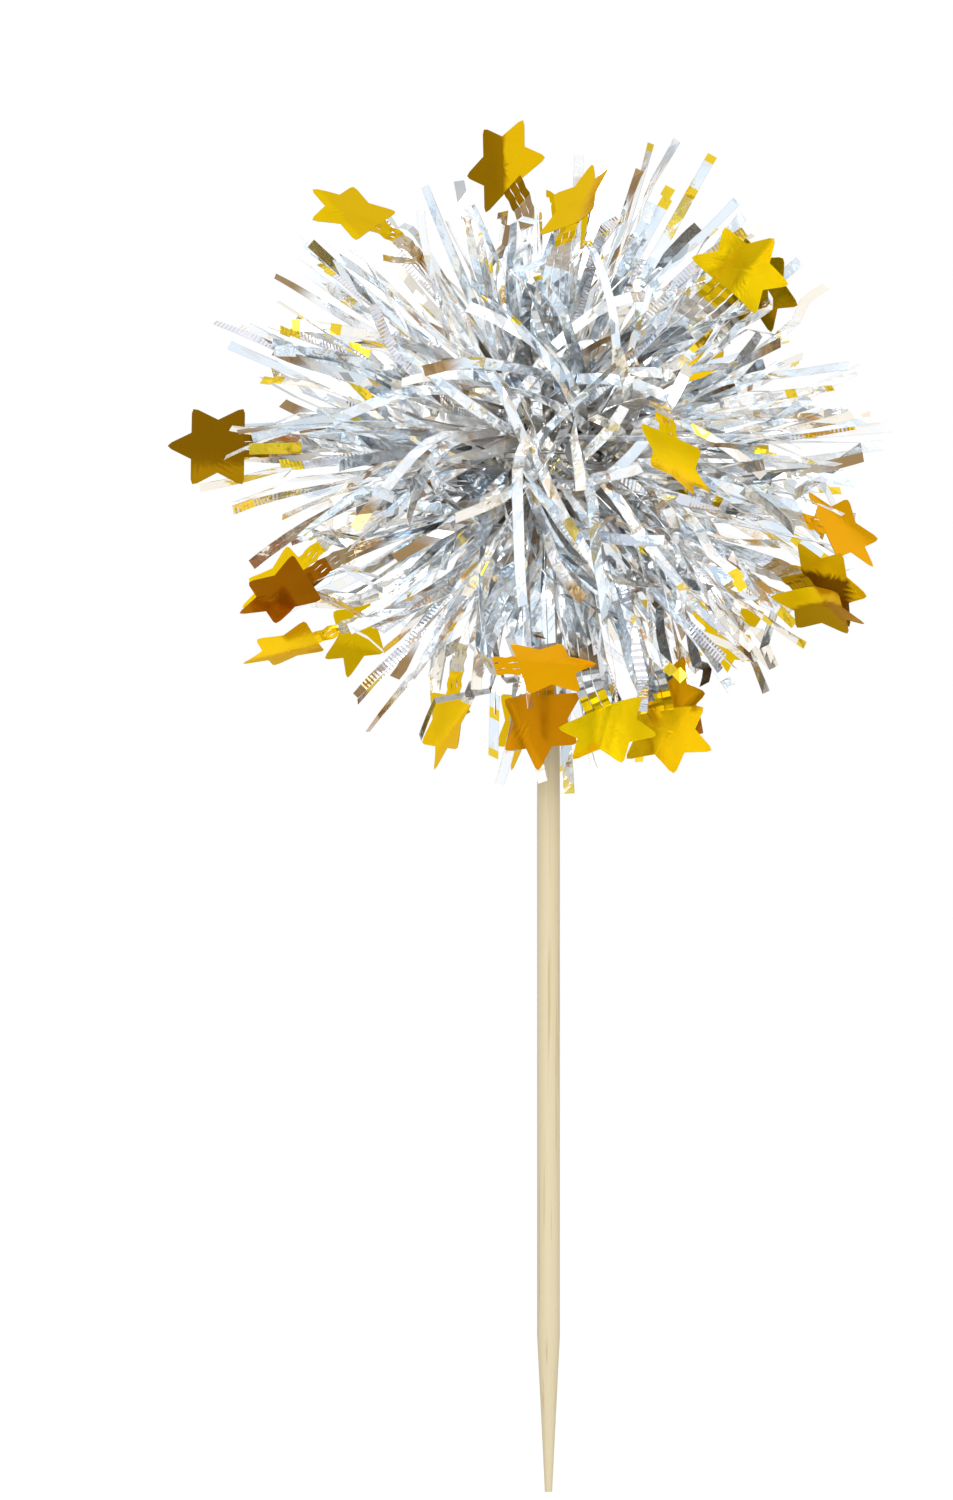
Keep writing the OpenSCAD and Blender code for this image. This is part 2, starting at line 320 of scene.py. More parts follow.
# %% Bamboo finish
PALE_STRAW = (0.68, 0.60, 0.41, 1)
STRAW = (0.61, 0.51, 0.31, 1)
DARK_FIBRE = (0.43, 0.31, 0.15, 1)
FIBRES = (2600, 2600, 60)
BANDS = (700, 700, 14)


def finish(name):
    """A new material and its graph."""
    material = bpy.data.materials.new(name)
    material.use_nodes = True
    return material, Graph(material.node_tree)


def surface(graph, inputs):
    """Ends a material's graph with one Principled shader."""
    shader = graph.node("ShaderNodeBsdfPrincipled", {}, inputs)
    graph.node("ShaderNodeOutputMaterial", {}, {"Surface": shader})


def stretched_noise(graph, place, scale, detail):
    """Noise with its own number of waves to the metre along each axis."""
    moved = graph.vector("MULTIPLY", place, scale)
    inputs = {"Vector": moved, "Scale": 1, "Detail": detail}
    return graph.node("ShaderNodeTexNoise", {}, inputs)


def dress(node_name, material):
    """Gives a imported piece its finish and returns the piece."""
    piece = frame["nodes"][node_name]
    piece.data.materials.clear()
    piece.data.materials.append(material)
    return piece


bamboo, grain = finish("bamboo")
place = grain.object_place()
fibres = stretched_noise(grain, place, FIBRES, 4)
bands = stretched_noise(grain, place, BANDS, 2)
dark_fibre = grain.ease(fibres, 0.56, 0.7)
straw = grain.mix(bands, PALE_STRAW, STRAW)
color = grain.mix(dark_fibre * 0.55, straw, DARK_FIBRE)
ridges = grain.bump(0.35, 0.1 * MM, fibres)
surface(grain, {"Base Color": color, "Roughness": 0.55 + fibres * 0.2, "Normal": ridges})
skewer = dress("skewer", bamboo)
print("bamboo on", skewer.name)

# %% [markdown]
# ## Where the stars are
#
# Each star nods about a fold line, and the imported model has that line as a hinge: its place and its axis.
# The star's own mesh gives the third direction, from the fold to the star's far point.

# %% Star frames
POINT_DEPTH = 0.2 * MM
BALL = np.array(BALL_CENTRE)


@dataclass
class Star:
    name: str
    fold: np.ndarray
    along: np.ndarray
    across: np.ndarray
    normal: np.ndarray


def unit(v):
    return v / np.linalg.norm(v)


def star_frame(joint):
    node = frame["nodes"][joint["child"]]
    places = np.array([v.co for v in node.data.vertices])
    fold = np.array(joint["pos_m"])
    across = unit(np.array(joint["axis"]))
    far = np.linalg.norm(places - fold, axis=1)
    along = unit(places[far > far.max() - POINT_DEPTH].mean(axis=0) - fold)
    return Star(joint["child"], fold, along, across, np.cross(along, across))


stars = [star_frame(joint) for joint in frame["joints"]]
FLEX = math.radians(max(joint["range_deg"][1] for joint in frame["joints"]))
print(len(stars), "stars, each flexing", round(math.degrees(FLEX)), "degrees either way")

# %% [markdown]
# ## Silver film
#
# The film is plastic with a mirror coat of metal. Each strip shows its own tint: silver, pale blue, grey,
# cream, bronze, or a lilac grey with fine cross lines where it was crimped. Further in, small patches of
# other tints are painted reflections of what the creased film mirrors; towards the core they are lighter,
# painted light that lifts its shade. A thin grey line along each edge of a strip is painted shade. Many
# tips keep a piece of the gold or copper print of the film's edge. Two numbers that each strip carries pick
# its tint and its tip, and a third is the distance to the tip in millimetres.

# %% Film finish
SILVER = (0.99, 0.99, 0.99, 1)
# A slightly dimmer silver: the strips' own colour, and most of the outer painted reflections.
DIM_SILVER = (0.93, 0.94, 0.95, 1)
PALE_BLUE = (0.76, 0.86, 0.96, 1)
GREY = (0.58, 0.60, 0.61, 1)
CREAM = (0.94, 0.87, 0.75, 1)
TAN = (0.76, 0.58, 0.40, 1)
LILAC = (0.66, 0.64, 0.70, 1)
COPPER = (0.34, 0.22, 0.10, 1)
BRONZE = (0.20, 0.17, 0.13, 1)
CHARCOAL = (0.08, 0.09, 0.09, 1)
GOLD = (0.80, 0.58, 0.03, 1)

TINTS = ((0.34, PALE_BLUE), (0.72, GREY), (0.82, CREAM), (0.90, BRONZE), (0.93, LILAC))
LILAC_FROM = TINTS[-1][0]
# Painted reflections: patches that stand for what the creased film mirrors. The inner ones are mostly bright
# silver, painted light that lifts the shade deep in the ball; the charcoal ones are painted dark reflections.
INNER_PAINTED_REFLECTIONS = (
    (0, SILVER), (0.68, CREAM), (0.82, CHARCOAL), (0.86, TAN), (0.93, GOLD), (0.95, SILVER),
)
OUTER_PAINTED_REFLECTIONS = (
    (0, DIM_SILVER), (0.38, PALE_BLUE), (0.76, CREAM), (0.86, CHARCOAL), (0.90, TAN), (0.95, DIM_SILVER),
)
REFLECTION_PATCHES_PER_MM = 0.5
REFLECTION_PATCHES_ACROSS = 0.6
TINT_OFFSET = 130
PRINT_OFFSET = 170
CRIMP = 0.22

COPPER_TO = 0.10
CREAM_TO = 0.26
TWO_BARS_FROM = 0.29
GOLD_TO = 0.32
HOOK_FROM = 0.47
HOOK_TO = 0.52
STRIPE_FROM = 0.53
STRIPE_TO = 0.54

film, coat = finish("silver_film")
tint = coat.attribute("tint")
print_kind = coat.attribute("print_kind")
to_tip = coat.attribute("to_tip")
edge_side = coat.attribute("edge_side")


def between(value, low, high):
    return (value > low) * (value < high)


color = DIM_SILVER
for tint_from, tone in TINTS:
    color = coat.mix(tint > tint_from, color, tone)

# Patches of painted reflection, laid out in each strip's own coordinates.
along_film = to_tip * REFLECTION_PATCHES_PER_MM + tint * TINT_OFFSET
across_film = edge_side * REFLECTION_PATCHES_ACROSS + print_kind * PRINT_OFFSET
reflection_place = coat.xyz(along_film, across_film, 0)
cells = coat.node("ShaderNodeTexVoronoi", {}, {"Vector": reflection_place, "Scale": 1}, "Color")
cell = coat.node("ShaderNodeSeparateColor", {}, [cells])
inner_reflections = coat.node("ShaderNodeValToRGB", {"steps": INNER_PAINTED_REFLECTIONS}, [cell])
outer_reflections = coat.node("ShaderNodeValToRGB", {"steps": OUTER_PAINTED_REFLECTIONS}, [cell])
# Inner painted reflections near the root and outer ones towards the tip; their share of the colour grows
# towards the root.
painted_reflections = coat.mix(coat.ease(to_tip, 14, 24), outer_reflections, inner_reflections)
color = coat.mix(coat.ease(to_tip, 3, 20) * 0.7 + 0.25, color, painted_reflections)
# Painted shade: a thin grey line along both edges of each strip and on its sides.
painted_edge_shade = coat.ease(coat.maths("ABSOLUTE", edge_side), 0.7, 0.95)
color = coat.mix(painted_edge_shade * 0.3, color, GREY)

copper_tip = (print_kind < COPPER_TO) * (1 - coat.ease(to_tip, 2.2, 5.5))
color = coat.mix(copper_tip, color, COPPER)
cream_tip = between(print_kind, COPPER_TO, CREAM_TO) * (1 - coat.ease(to_tip, 3, 6))
color = coat.mix(cream_tip * 0.8, color, CREAM)
first_bar = between(print_kind, CREAM_TO, GOLD_TO) * (to_tip < 0.9)
second_bar = between(print_kind, TWO_BARS_FROM, GOLD_TO) * between(to_tip, 4.2, 5.4)
gold_hook = between(print_kind, HOOK_FROM, HOOK_TO) * (to_tip < 2.5)
gold_stripe = between(print_kind, STRIPE_FROM, STRIPE_TO) * (to_tip < 6)
gold_print = first_bar + second_bar + gold_hook + gold_stripe
color = coat.mix(coat.maths("MINIMUM", gold_print, 1), color, GOLD)

crimped = (tint > LILAC_FROM) * (coat.maths("PINGPONG", to_tip, CRIMP) / CRIMP)
place = coat.object_place()
wrinkles = stretched_noise(coat, place, (700, 700, 700), 2)
height = wrinkles * 0.7 + crimped * 0.3
dents = coat.bump(0.22, 0.3 * MM, height)
mirror = 0.9 - coat.ease(to_tip, 12, 26) * 0.3
inputs = {"Base Color": color, "Metallic": mirror, "Specular IOR Level": 0.8}
surface(coat, {**inputs, "Roughness": 0.05 + wrinkles * 0.1, "Normal": dents})
print("film finish:", film.name)

# %% [markdown]
# ## The film's plies
#
# The real ball is film wound round the skewer's head, tied at the waist and slit from both edges. One
# Geometry Nodes tree makes one ply: it copies a straight line once for each strip, bends each copy by a
# formula with seeded random numbers, and sweeps a flat rectangle along it. The tree's inputs are the ply's
# sizes, so eight runs give eight plies. Three extra rings near the tip let some strips end in a small hook,
# a leftover of the cut round a star.

# %% Ply tree
BODY_RINGS = 11
STRIP_RINGS = BODY_RINGS + 4
CORNERS = 4
HOOK_LENGTH = 2.4 * MM
HOOK_BLOCK = 1.2 * MM
HOOK_STEP = 0.1 * MM
HOOK_NECK = 0.45
HOOK_SHIFT = 0.28
PLY_TURN = 2.4
PLY_INPUTS = {
    "Strips": "Int",
    "Ply radius": "Float",
    "Ply half height": "Float",
    "Ply wall": "Float",
    "Fan from": "Float",
    "Fan to": "Float",
    "Reach": "Float",
    "Strip width": "Float",
    "Film thickness": "Float",
    "Seed": "Int",
    "Film": "Material",
}


def new_tree(name, inputs, output):
    """A Geometry Nodes tree with named inputs and one geometry output: the tree, its graph and its inputs."""
    tree = bpy.data.node_groups.new(name, "GeometryNodeTree")
    graph = Graph(tree)
    for label, kind in inputs.items():
        tree.interface.new_socket(label, in_out="INPUT", socket_type="NodeSocket" + kind)
    tree.interface.new_socket(output, in_out="OUTPUT", socket_type="NodeSocketGeometry")
    return tree, graph, graph.node("NodeGroupInput")


def end_tree(graph, geometry, material, output):
    """Makes the geometry real, gives it its material and hands it to the tree's output."""
    real = graph.node("GeometryNodeRealizeInstances", {}, {"Geometry": geometry})
    dressed = graph.node("GeometryNodeSetMaterial", {}, {"Geometry": real, "Material": material})
    graph.node("NodeGroupOutput", {}, {output: dressed})


def swept(graph, path, profile, caps=True):
    inputs = {"Curve": path, "Profile Curve": profile, "Fill Caps": caps}
    return graph.node("GeometryNodeCurveToMesh", {}, inputs)


def rectangle(graph, width, height):
    inputs = {"Width": width, "Height": height}
    return graph.node("GeometryNodeCurvePrimitiveQuadrilateral", {}, inputs)


ply_tree, ply, given = new_tree("film_ply", PLY_INPUTS, "Ply")
reach = given.other("Reach")
width = given.other("Strip width")
line = ply.node("GeometryNodeCurvePrimitiveLine")
line = ply.node("GeometryNodeResampleCurve", {"mode": "COUNT"}, {"Curve": line, "Count": STRIP_RINGS})
copies = ply.node("GeometryNodeDuplicateElements", {"domain": "SPLINE"}, {"Geometry": line, "Amount": given})
strip = copies.other("Duplicate Index")
ring = ply.node("GeometryNodeSplineParameter", {}, (), "Index")


def chance(low, high, number):
    """A random number of each strip, the same in every run."""
    seed = given.other("Seed") * 100 + number
    inputs = {"Min": low, "Max": high, "ID": strip, "Seed": seed}
    return ply.node("FunctionNodeRandomValue", {}, inputs, "Value")


def cubed(value):
    return value * value * value


side = (strip % 2) * 2 - 1
turn = ply.maths("FLOOR", strip / 2)
azimuth = (turn + chance(-0.6, 0.6, 1)) * 4 * math.pi / given + given.other("Seed") * PLY_TURN
lean = given.other("Fan from") + (given.other("Fan to") - given.other("Fan from")) * chance(0, 1, 2)
cos_a = ply.maths("COSINE", azimuth)
sin_a = ply.maths("SINE", azimuth)
cos_l = ply.maths("COSINE", lean)
sin_l = ply.maths("SINE", lean)
out = ply.xyz(sin_l * cos_a, sin_l * sin_a, side * cos_l)
tangent = ply.xyz(0 - sin_a, cos_a, 0)
upward = ply.vector("CROSS_PRODUCT", out, tangent)
edge = given.other("Ply half height")
root = ply.xyz(given.other("Ply radius") * cos_a, given.other("Ply radius") * sin_a, side * edge)
print("ply tree: roots and directions")

# %% Ply tree: bent strips
LOBES = (
    (-0.17, (-0.2, 0, 0.98), 14),
    (0.06, (0.4, 0, 0.91), 24),
    (0.15, (-0.9, 0, 0.44), 9),
    (0.08, (0.99, 0, 0.14), 8),
    (-0.45, (-0.96, 0, -0.28), 150),
)
WAVE = 1.6 * MM
DIP_LENGTH = 5 * MM
OPEN_LENGTH = 9 * MM
GATHERED = 0.38
DROOP = -0.035
LEAST_CURL = 0.001


def lobe(toward, sharpness):
    """1 for strips that point this way, seen from the front, and falling off round it."""
    flat = ply.vector("NORMALIZE", ply.vector("MULTIPLY", out, (1, 0, 1)))
    near = ply.node("ShaderNodeVectorMath", {"operation": "DOT_PRODUCT"}, [flat, toward], "Value")
    return ply.maths("POWER", ply.maths("MAXIMUM", near, 0), sharpness)


unruly = chance(0, 1, 3) > 0.78
uneven = 1
for change, toward, sharpness in LOBES:
    uneven = uneven + change * lobe(toward, sharpness)
out_to_edge = given.other("Ply radius") * sin_l + edge * cos_l
length = reach * uneven * (1 + chance(-0.12, 0.05, 4)) * (1 - unruly * chance(0.05, 0.45, 5)) - out_to_edge
in_body = ring < BODY_RINGS + 0.5
at_neck = between(ring, BODY_RINGS + 0.5, BODY_RINGS + 1.5)
at_block = between(ring, BODY_RINGS + 1.5, BODY_RINGS + 2.5)
from_tip = at_neck * (HOOK_BLOCK + HOOK_STEP) + at_block * HOOK_BLOCK
body_way = (length - HOOK_LENGTH) * ring / BODY_RINGS
way = in_body * body_way + (1 - in_body) * (length - from_tip)
share = way / length
facing = ply.maths("ABSOLUTE", sin_l * sin_a)
sway = unruly * 0.3 + 0.11 + cubed(facing) * chance(0.8, 2.2, 19)
bend = tangent * (cubed(chance(-1, 1, 6)) * 0.25 + chance(-1, 1, 7) * sway)
bend = bend + upward * (cubed(chance(-1, 1, 8)) * 0.25 + chance(-1, 1, 9) * sway)
wave = ply.maths("SINE", share * chance(5, 14, 10) + chance(0, 6.3, 11)) * share * (1 - share)
dip = side * edge * cubed(sin_l) * (1 - ply.maths("EXPONENT", way / -DIP_LENGTH)) * chance(0.3, 1.6, 18)
droop = ply.xyz(0, 0, share * share * sin_l * length * DROOP - dip)
curl = ply.node("ShaderNodeVectorMath", {"operation": "LENGTH"}, [bend], "Value") * 2 + LEAST_CURL
turned = curl * share
arc = out * ply.maths("SINE", turned) + bend * (2 / curl) * (1 - ply.maths("COSINE", turned))
place = root + arc * (length / curl)
place = place + tangent * (wave * chance(-WAVE, WAVE, 12))
place = place + upward * (wave * chance(-WAVE, WAVE, 13))
place = place + droop + tuple(BALL_CENTRE)
bent = ply.node("GeometryNodeSetPosition", {}, {"Geometry": copies, "Position": place})
twist = chance(-3.2, 3.2, 14) + share * (1 + facing) * chance(-1.6, 1.6, 15)
bent = ply.node("GeometryNodeSetCurveTilt", {}, {"Curve": bent, "Tilt": twist})

print_kind = chance(0, 1, 16)
hooked = between(print_kind, HOOK_FROM, HOOK_TO)
narrow = hooked * between(ring, BODY_RINGS - 0.5, BODY_RINGS + 1.5)
gathered = GATHERED + (1 - GATHERED) * ply.node("ShaderNodeClamp", {}, {"Value": way / OPEN_LENGTH})
breadth = gathered * (1 - narrow * (1 - HOOK_NECK)) * (1 + cubed(facing) * 0.3)
bent = ply.node("GeometryNodeSetCurveRadius", {}, {"Curve": bent, "Radius": breadth})
print("ply tree: bent strips")

# %% Ply tree: film
FAR_FROM_TIP = 40.0
NO_PRINT = 1.0
BAND_TINT = 0.7
BAND_STRIP = -1
ROOT_LAP = 0.2 * MM
HOOP_SIDES = 48


def stored(geometry, name, value, kind="FLOAT"):
    settings = {"data_type": kind, "domain": "POINT"}
    inputs = {"Geometry": geometry, "Name": name, "Value": value}
    return ply.node("GeometryNodeStoreNamedAttribute", settings, inputs)


bent = stored(bent, "to_tip", (length - way) / MM)
bent = stored(bent, "print_kind", print_kind)
bent = stored(bent, "tint", chance(0, 1, 17))
bent = stored(bent, "strip", strip, "INT")
across = ply.node("GeometryNodeInputNormal", {}, (), "Normal")
bent = stored(bent, "sideways", across, "FLOAT_VECTOR")
profile = rectangle(ply, width, given.other("Film thickness"))
corner = ply.node("ShaderNodeSeparateXYZ", {}, [ply.node("GeometryNodeInputPosition")])
profile = stored(profile, "edge_side", corner * 2 / width)
strips = swept(ply, bent, profile)
at_tip = ply.named("to_tip") < (HOOK_BLOCK + HOOK_STEP / 2) / MM
on_block = at_tip * between(ply.named("print_kind"), HOOK_FROM, HOOK_TO)
shift = ply.named("sideways", "FLOAT_VECTOR") * (on_block * width * HOOK_SHIFT)
strips = ply.node("GeometryNodeSetPosition", {}, {"Geometry": strips, "Offset": shift})

circle = {"Resolution": HOOP_SIDES, "Radius": given.other("Ply radius")}
hoop = ply.node("GeometryNodeCurvePrimitiveCircle", {}, circle)
wall = rectangle(ply, given.other("Ply wall"), edge * 2 + ROOT_LAP * 2)
band = swept(ply, hoop, wall, caps=False)
band = ply.node("GeometryNodeTransform", {}, {"Geometry": band, "Translation": tuple(BALL_CENTRE)})
band = stored(band, "to_tip", FAR_FROM_TIP)
band = stored(band, "print_kind", NO_PRINT)
band = stored(band, "tint", BAND_TINT)
band = stored(band, "strip", BAND_STRIP, "INT")
joined = ply.node("GeometryNodeJoinGeometry")
for geometry in (strips, band):
    ply_tree.links.new(geometry.socket, joined.socket.node.inputs[0])
flat = ply.node("GeometryNodeSetShadeSmooth", {}, {"Geometry": joined, "Shade Smooth": False})
end_tree(ply, flat, given.other("Film"), "Ply")
print("ply tree:", len(ply_tree.nodes), "nodes")

# %% [markdown]
# ## Room for the stars
#
# A star flexes to either side of its rest, and film that stands in its way would cut through it. After a
# ply is made, each strip that runs through a star's room is laid behind the star, or in front of it if most
# of it is well in front. A few strips run straight at a star, and those are left out.

# %% Clear the stars' way
STAR_HALF_WIDTH = 5.1 * MM
STAR_LENGTH = 11.2 * MM
ROOM = 1.6 * MM
FADE = 4 * MM
WELL_IN_FRONT = 5 * MM
CUT_OFF = 2 * MM
VIEWER = np.array([0, -1, 0])
VIEWER_SHARE = 0.5
PASSES = 3
TOUCH = 0.5 * MM
NECK_LENGTH = 7 * MM
NECK_HALF_WIDTH = 1.6 * MM
BETWEEN_RINGS = (0, 0.25, 0.5, 0.75)


def fade(value, low, high):
    """1 between low and high, falling smoothly to 0 over the fade on either side."""
    outside = np.maximum(low - value, value - high)
    t = np.clip(1 - outside / FADE, 0, 1)
    return t * t * (3 - 2 * t)


def in_star_frame(places, star):
    offset = places - star.fold
    return offset @ star.along, offset @ star.across, offset @ star.normal


def clear_of_stars(rings):
    """Moves whole rings of the strips. The places are in strips, rings and corners."""
    moved = rings.copy()
    for star in stars * PASSES:
        along, across, away = in_star_frame(moved.mean(axis=2), star)
        weight = fade(along, 0, STAR_LENGTH) * fade(across, -STAR_HALF_WIDTH, STAR_HALF_WIDTH)
        need = ROOM + np.clip(along, 0, STAR_LENGTH) * math.tan(FLEX)
        weight *= np.clip((need + FADE - np.abs(away)) / CUT_OFF, 0, 1)
        front = np.sign(star.normal @ (unit(star.fold - BALL) + VIEWER * VIEWER_SHARE))
        total = (weight * (away - front * WELL_IN_FRONT)).sum(axis=1, keepdims=True)
        side = np.where(total >= 0, 1.0, -1.0)
        push = np.maximum(need - side * away, 0) * weight * side
        moved += push[:, :, None, None] * star.normal
    return moved


def cuts_a_star(rings):
    """True for each strip that still runs through a star or its neck."""
    steps = [rings[:, :-1] * (1 - t) + rings[:, 1:] * t for t in BETWEEN_RINGS]
    places = np.concatenate([*steps, rings[:, -1:]], axis=1)
    cuts = np.zeros(len(rings), bool)
    for star in stars:
        along, across, away = in_star_frame(places, star)
        half_width = np.where(along > 0, STAR_HALF_WIDTH, NECK_HALF_WIDTH)
        near = (along > -NECK_LENGTH) & (along < STAR_LENGTH) & (np.abs(across) < half_width)
        near &= np.abs(away) < TOUCH + np.maximum(along, 0) * math.tan(FLEX)
        cuts |= near.any(axis=(1, 2))
    return cuts


def leave_out(mesh, strip, numbers):
    """Removes the strips with these numbers from a mesh."""
    edited = bmesh.new()
    edited.from_mesh(mesh)
    edited.verts.ensure_lookup_table()
    unwanted = [edited.verts[i] for i in np.flatnonzero(np.isin(strip, numbers))]
    bmesh.ops.delete(edited, geom=unwanted, context="VERTS")
    edited.to_mesh(mesh)
    edited.free()


def plain_mesh(tree, name, values, base=None):
    """Runs a tree with these inputs, on a base mesh if given, and returns an object with the plain mesh."""
    carrier = bpy.data.objects.new(name + "_tree", base or bpy.data.meshes.new(name + "_tree"))
    bpy.context.scene.collection.objects.link(carrier)
    modifier = carrier.modifiers.new("tree", "NODES")
    modifier.node_group = tree
    for item in tree.interface.items_tree:
        if item.in_out == "INPUT" and item.name in values:
            modifier[item.identifier] = values[item.name]
    shaped = carrier.evaluated_get(bpy.context.evaluated_depsgraph_get())
    mesh = bpy.data.meshes.new_from_object(shaped)
    mesh.name = name
    bpy.data.objects.remove(carrier)
    made = bpy.data.objects.new(name, mesh)
    bpy.context.scene.collection.objects.link(made)
    return made


def values_of(mesh, name, kind):
    found = np.zeros(len(mesh.vertices), kind)
    mesh.attributes[name].data.foreach_get("value", found)
    return found


print("room for", len(stars), "stars")

# %% Eight plies
PLIES = 8
STRIPS = 620
PLY_WALL = 0.45 * MM
CORE_RADIUS = 1.45 * MM
BAND_HALF = 1 * MM
CUP_RISE = 5 * MM
FAN = math.radians(96)
WALL_SHARE = 0.9
REACH = 35.5 * MM
STRIP_WIDTH = 1.2 * MM
STRIP_THICKNESS = 0.05 * MM
FIRST_SEED = 11
shares = [math.sin(FAN * (k + 0.5) / PLIES) for k in range(PLIES)]
for k in range(PLIES):
    name = f"film_ply_{k + 1}"
    step = (k + 0.5) / PLIES
    values = {
        "Strips": 2 * round(STRIPS / 2 * shares[k] / sum(shares)),
        "Ply radius": CORE_RADIUS + (k + 0.5) * PLY_WALL,
        "Ply half height": BAND_HALF + CUP_RISE * math.sqrt(1 - step**2) - ROOT_LAP,
        "Ply wall": PLY_WALL * WALL_SHARE,
        "Fan from": FAN * k / PLIES,
        "Fan to": FAN * (k + 1) / PLIES,
        "Reach": REACH,
        "Strip width": STRIP_WIDTH,
        "Film thickness": STRIP_THICKNESS,
        "Seed": FIRST_SEED + k,
        "Film": film,
    }
    piece = plain_mesh(ply_tree, name + "_strips", values)
    points = np.zeros((len(piece.data.vertices), 3))
    piece.data.vertices.foreach_get("co", points.ravel())
    strip_of = values_of(piece.data, "strip", int)
    on_strip = strip_of >= 0
    rings = clear_of_stars(points[on_strip].reshape(values["Strips"], STRIP_RINGS, CORNERS, 3))
    points[on_strip] = rings.reshape(-1, 3)
    piece.data.vertices.foreach_set("co", points.ravel())
    cut = np.flatnonzero(cuts_a_star(rings))
    leave_out(piece.data, strip_of, cut)
    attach(piece, "topper")
    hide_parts(name)
    print(piece.name, values["Strips"] - len(cut), "strips,", len(piece.data.polygons), "faces")

# %% [markdown]
# ## Strips that carry the stars
#
# Three strips side by side run from the binding to each star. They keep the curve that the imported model
# gives them, so that nothing stands in a star's way. A mesh of bare edges holds the paths, and a small tree
# turns each path into a ribbon: its stored direction across the strip sets which way the ribbon faces, and
# its stored width tapers it.

# %% Paths from the binding to the stars
ROOT_DEPTH = 0.4 * MM
STEM_LEAD = 5 * MM
GATHERED_WIDTH = 0.36
NECK_PITCH = 1 * MM
GATHERED_PITCH = 0.46 * MM
OPEN_AT = 0.4
ROOT_TURN = {"star_11": -10, "star_12": 8, "star_17": 4, "star_18": -4, "star_20": 5}
LANES = (-1, 0, 1)


def stem_curve(star):
    """Four points of the Bezier curve from the binding to a star's fold, and the way across its root."""
    side = 1 if star.fold[2] >= BALL[2] else -1
    rise = star.fold - BALL - [0, 0, side * BAND_HALF]
    theta = math.acos(side * rise[2] / np.linalg.norm(rise))
    phi = math.atan2(star.fold[1], star.fold[0]) + math.radians(ROOT_TURN.get(star.name, 0))
    step = (min(PLIES, math.floor(theta / FAN * PLIES) + 1) - 0.5) / PLIES
    radius = CORE_RADIUS + step * PLIES * PLY_WALL
    height = BAND_HALF + CUP_RISE * math.sqrt(1 - step**2) - ROOT_DEPTH
    root = BALL + [radius * math.cos(phi), radius * math.sin(phi), side * height]
    out = np.array([math.sin(theta) * math.cos(phi), math.sin(theta) * math.sin(phi), side * math.cos(theta)])
    tangent = np.array([-math.sin(phi), math.cos(phi), 0])
    lead = np.linalg.norm(star.fold - root) / 2
    curve = np.array([root, root + out * lead, star.fold - star.along * STEM_LEAD, star.fold])
    return curve, tangent if tangent @ star.across >= 0 else -tangent


def stem_path(star, lane, times):
    """Places along one strip, the directions across it and its widths in strip widths."""
    curve, root_across = stem_curve(star)
    t = np.array(times)[:, None]
    weights = np.hstack([(1 - t) ** 3, 3 * t * (1 - t) ** 2, 3 * t * t * (1 - t), t**3])
    slopes = np.hstack([(1 - t) ** 2, 2 * t * (1 - t), t * t])
    way = slopes @ np.diff(curve, axis=0)
    way /= np.linalg.norm(way, axis=1)[:, None]
    across = root_across + (star.across - root_across) * t
    across -= (across * way).sum(axis=1)[:, None] * way
    across /= np.linalg.norm(across, axis=1)[:, None]
    opened = np.minimum(t / OPEN_AT, 1)
    pitch = GATHERED_PITCH + (NECK_PITCH - GATHERED_PITCH) * opened
    widths = GATHERED_WIDTH + (1 - GATHERED_WIDTH) * opened[:, 0]
    return weights @ curve + across * lane * pitch, across, widths


print("paths of", len(stars) * len(LANES), "strips")

# %% Ribbon tree
RIBBON_INPUTS = {"Paths": "Geometry", "Width": "Float", "Thickness": "Float", "Film": "Material"}
ribbon_tree, ribbon, given = new_tree("ribbon", RIBBON_INPUTS, "Ribbons")
paths = ribbon.node("GeometryNodeMeshToCurve", {}, {"Mesh": given})
normals = {"Curve": paths, "Normal": ribbon.named("across", "FLOAT_VECTOR")}
paths = ribbon.node("GeometryNodeSetCurveNormal", {"mode": "FREE"}, normals)
paths = ribbon.node("GeometryNodeSetCurveRadius", {}, {"Curve": paths, "Radius": ribbon.named("taper")})
profile = rectangle(ribbon, given.other("Width"), given.other("Thickness"))
ribbons = swept(ribbon, paths, profile)
ribbons = ribbon.node("GeometryNodeSetShadeSmooth", {}, {"Geometry": ribbons, "Shade Smooth": False})
end_tree(ribbon, ribbons, given.other("Film"), "Ribbons")
print("ribbon tree:", len(ribbon_tree.nodes), "nodes")


# %% Carrying strips
def store(mesh, name, kind, values):
    field = "vector" if kind == "FLOAT_VECTOR" else "value"
    mesh.attributes.new(name, kind, "POINT").data.foreach_set(field, np.ravel(values))


def path_mesh(name, lines):
    """A mesh of bare edges along several paths, with the directions across and the widths stored on it."""
    places, across, taper = (np.concatenate(column) for column in zip(*lines))
    edges = []
    for line in lines:
        first = edges[-1][1] + 1 if edges else 0
        edges += [(first + i, first + i + 1) for i in range(len(line[0]) - 1)]
    mesh = bpy.data.meshes.new(name)
    mesh.from_pydata(places, edges, [])
    store(mesh, "across", "FLOAT_VECTOR", across)
    store(mesh, "taper", "FLOAT", taper)
    return mesh


